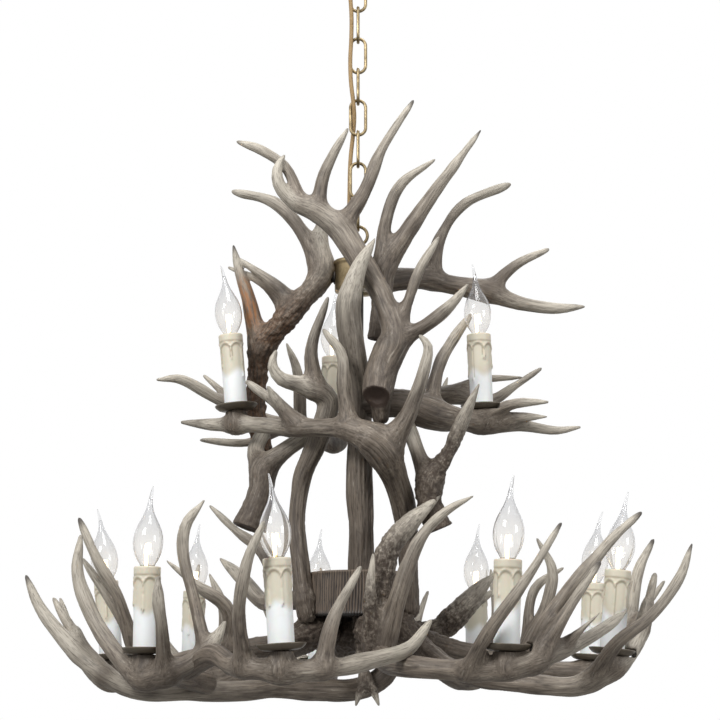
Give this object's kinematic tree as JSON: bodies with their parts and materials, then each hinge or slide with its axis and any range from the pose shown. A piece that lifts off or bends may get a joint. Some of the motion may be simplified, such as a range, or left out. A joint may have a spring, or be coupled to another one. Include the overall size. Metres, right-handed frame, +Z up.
{
  "type": "antler chandelier",
  "caption": "Two-tier hanging light of interlocked antlers with candle lamps on drip plates, on a chain and woven-through lead from a ceiling canopy",
  "frame": {"origin": "middle of the ceiling face of the bracket, on the chain's line", "axes": "+Z up, +X to the right seen from the front, front facing -Y"},
  "size_m": [0.7872, 0.7158, 1.004],
  "materials": {
    "antler": "weathered grey-brown cast antler, satin on the palms",
    "drum_resin": "dark bark-like grooves",
    "aged_brass": "dull antique brass",
    "zinc_steel": "zinc-plated steel",
    "dark_steel": "dark brown painted tube",
    "bronze_paint": "dark grey-green satin paint",
    "wax": "ivory candle sleeve with cream drips",
    "holder_plastic": "plain white holder",
    "clear_glass": "clear glass, lit",
    "lead_braid": "tan woven braid"
  },
  "bodies": {
    "ceiling": {"ceiling_bracket": "zinc_steel", "canopy": "aged_brass", "canopy_loop": "aged_brass", "cord_top": "lead_braid"},
    "chain_top": {"chain_link_1": "aged_brass", "cord_upper": "lead_braid"},
    "chain_run": {"chain_link_2": "aged_brass", "chain_link_3": "aged_brass", "chain_link_4": "aged_brass", "chain_link_5": "aged_brass", "chain_link_6": "aged_brass", "chain_link_7": "aged_brass", "cord_run": "lead_braid"},
    "chain_bottom": {"chain_link_8": "aged_brass", "cord_lower": "lead_braid"},
    "chandelier": {"top_loop": "aged_brass", "upper_hub": "aged_brass", "centre_tube": "dark_steel", "lower_drum": "drum_resin", "finial": "antler", "antler_bolts": "zinc_steel", "drip_plates": "bronze_paint", "candle_sleeves": "wax", "lamp_holders": "holder_plastic", "cord_hub": "lead_braid", "antler_front_post": "antler", "antler_right_post": "antler", "antler_left_post": "antler", "antler_upper_right": "antler", "antler_upper_back_left": "antler", "antler_upper_back_right": "antler", "antler_crown_right": "antler", "antler_crown_left": "antler", "antler_crown_back": "antler", "antler_crown_front": "antler", "antler_hanging_left": "antler", "antler_hanging_right": "antler", "antler_ring_right": "antler", "antler_ring_front_right": "antler", "antler_ring_right_back": "antler", "antler_ring_back_right": "antler", "antler_ring_back": "antler", "antler_ring_back_left": "antler", "antler_ring_left": "antler", "antler_ring_low": "antler", "antler_ring_front_left_outer": "antler", "antler_ring_front_left": "antler", "antler_center_spur": "antler"},
    "lamp_left": {"bulb_left": "clear_glass"},
    "lamp_front_left_outer": {"bulb_front_left_outer": "clear_glass"},
    "lamp_back_left": {"bulb_back_left": "clear_glass"},
    "lamp_front_left": {"bulb_front_left": "clear_glass"},
    "lamp_back": {"bulb_back": "clear_glass"},
    "lamp_back_right": {"bulb_back_right": "clear_glass"},
    "lamp_front_right": {"bulb_front_right": "clear_glass"},
    "lamp_right_back": {"bulb_right_back": "clear_glass"},
    "lamp_right": {"bulb_right": "clear_glass"},
    "lamp_upper_left": {"bulb_upper_left": "clear_glass"},
    "lamp_upper_right": {"bulb_upper_right": "clear_glass"},
    "lamp_upper_back": {"bulb_upper_back": "clear_glass"}
  },
  "joints": [
    {"name": "chain_top_swing", "type": "hinge", "parent": "ceiling", "child": "chain_top", "pos_m": [0, 0, -0.0602], "axis": [0, 1, 0], "range_deg": [-20, 20], "deforming": ["cord_top"]},
    {"name": "chain_run_swing", "type": "hinge", "parent": "chain_top", "child": "chain_run", "pos_m": [0, 0, -0.1029], "axis": [1, 0, 0], "range_deg": [-20, 20], "deforming": ["cord_upper"]},
    {"name": "chain_bottom_swing", "type": "hinge", "parent": "chain_run", "child": "chain_bottom", "pos_m": [0, 0, -0.3591], "axis": [1, 0, 0], "range_deg": [-10, 10], "deforming": ["cord_lower"]},
    {"name": "chandelier_swing", "type": "hinge", "parent": "chain_bottom", "child": "chandelier", "pos_m": [0, 0, -0.4018], "axis": [0, 1, 0], "range_deg": [-10, 10], "deforming": ["cord_hub"]},
    {"name": "bulb_left_unscrew", "type": "slide", "parent": "chandelier", "child": "lamp_left", "axis": [-0.0933, 0, 0.9956], "range_m": [0, 0.027]},
    {"name": "bulb_front_left_outer_unscrew", "type": "slide", "parent": "chandelier", "child": "lamp_front_left_outer", "axis": [0, 0, 1], "range_m": [0, 0.027]},
    {"name": "bulb_back_left_unscrew", "type": "slide", "parent": "chandelier", "child": "lamp_back_left", "axis": [0.0208, 0, 0.9998], "range_m": [0, 0.027]},
    {"name": "bulb_front_left_unscrew", "type": "slide", "parent": "chandelier", "child": "lamp_front_left", "axis": [-0.0624, 0, 0.9981], "range_m": [0, 0.027]},
    {"name": "bulb_back_unscrew", "type": "slide", "parent": "chandelier", "child": "lamp_back", "axis": [0, 0, 1], "range_m": [0, 0.027]},
    {"name": "bulb_back_right_unscrew", "type": "slide", "parent": "chandelier", "child": "lamp_back_right", "axis": [0.0104, 0, 0.9999], "range_m": [0, 0.027]},
    {"name": "bulb_front_right_unscrew", "type": "slide", "parent": "chandelier", "child": "lamp_front_right", "axis": [0.0312, 0, 0.9995], "range_m": [0, 0.027]},
    {"name": "bulb_right_back_unscrew", "type": "slide", "parent": "chandelier", "child": "lamp_right_back", "axis": [0.0624, 0, 0.9981], "range_m": [0, 0.027]},
    {"name": "bulb_right_unscrew", "type": "slide", "parent": "chandelier", "child": "lamp_right", "axis": [0.1036, 0, 0.9946], "range_m": [0, 0.027]},
    {"name": "bulb_upper_left_unscrew", "type": "slide", "parent": "chandelier", "child": "lamp_upper_left", "axis": [-0.0933, 0, 0.9956], "range_m": [0, 0.027]},
    {"name": "bulb_upper_right_unscrew", "type": "slide", "parent": "chandelier", "child": "lamp_upper_right", "axis": [-0.0312, 0, 0.9995], "range_m": [0, 0.027]},
    {"name": "bulb_upper_back_unscrew", "type": "slide", "parent": "chandelier", "child": "lamp_upper_back", "axis": [0, 0, 1], "range_m": [0, 0.027]}
  ]
}
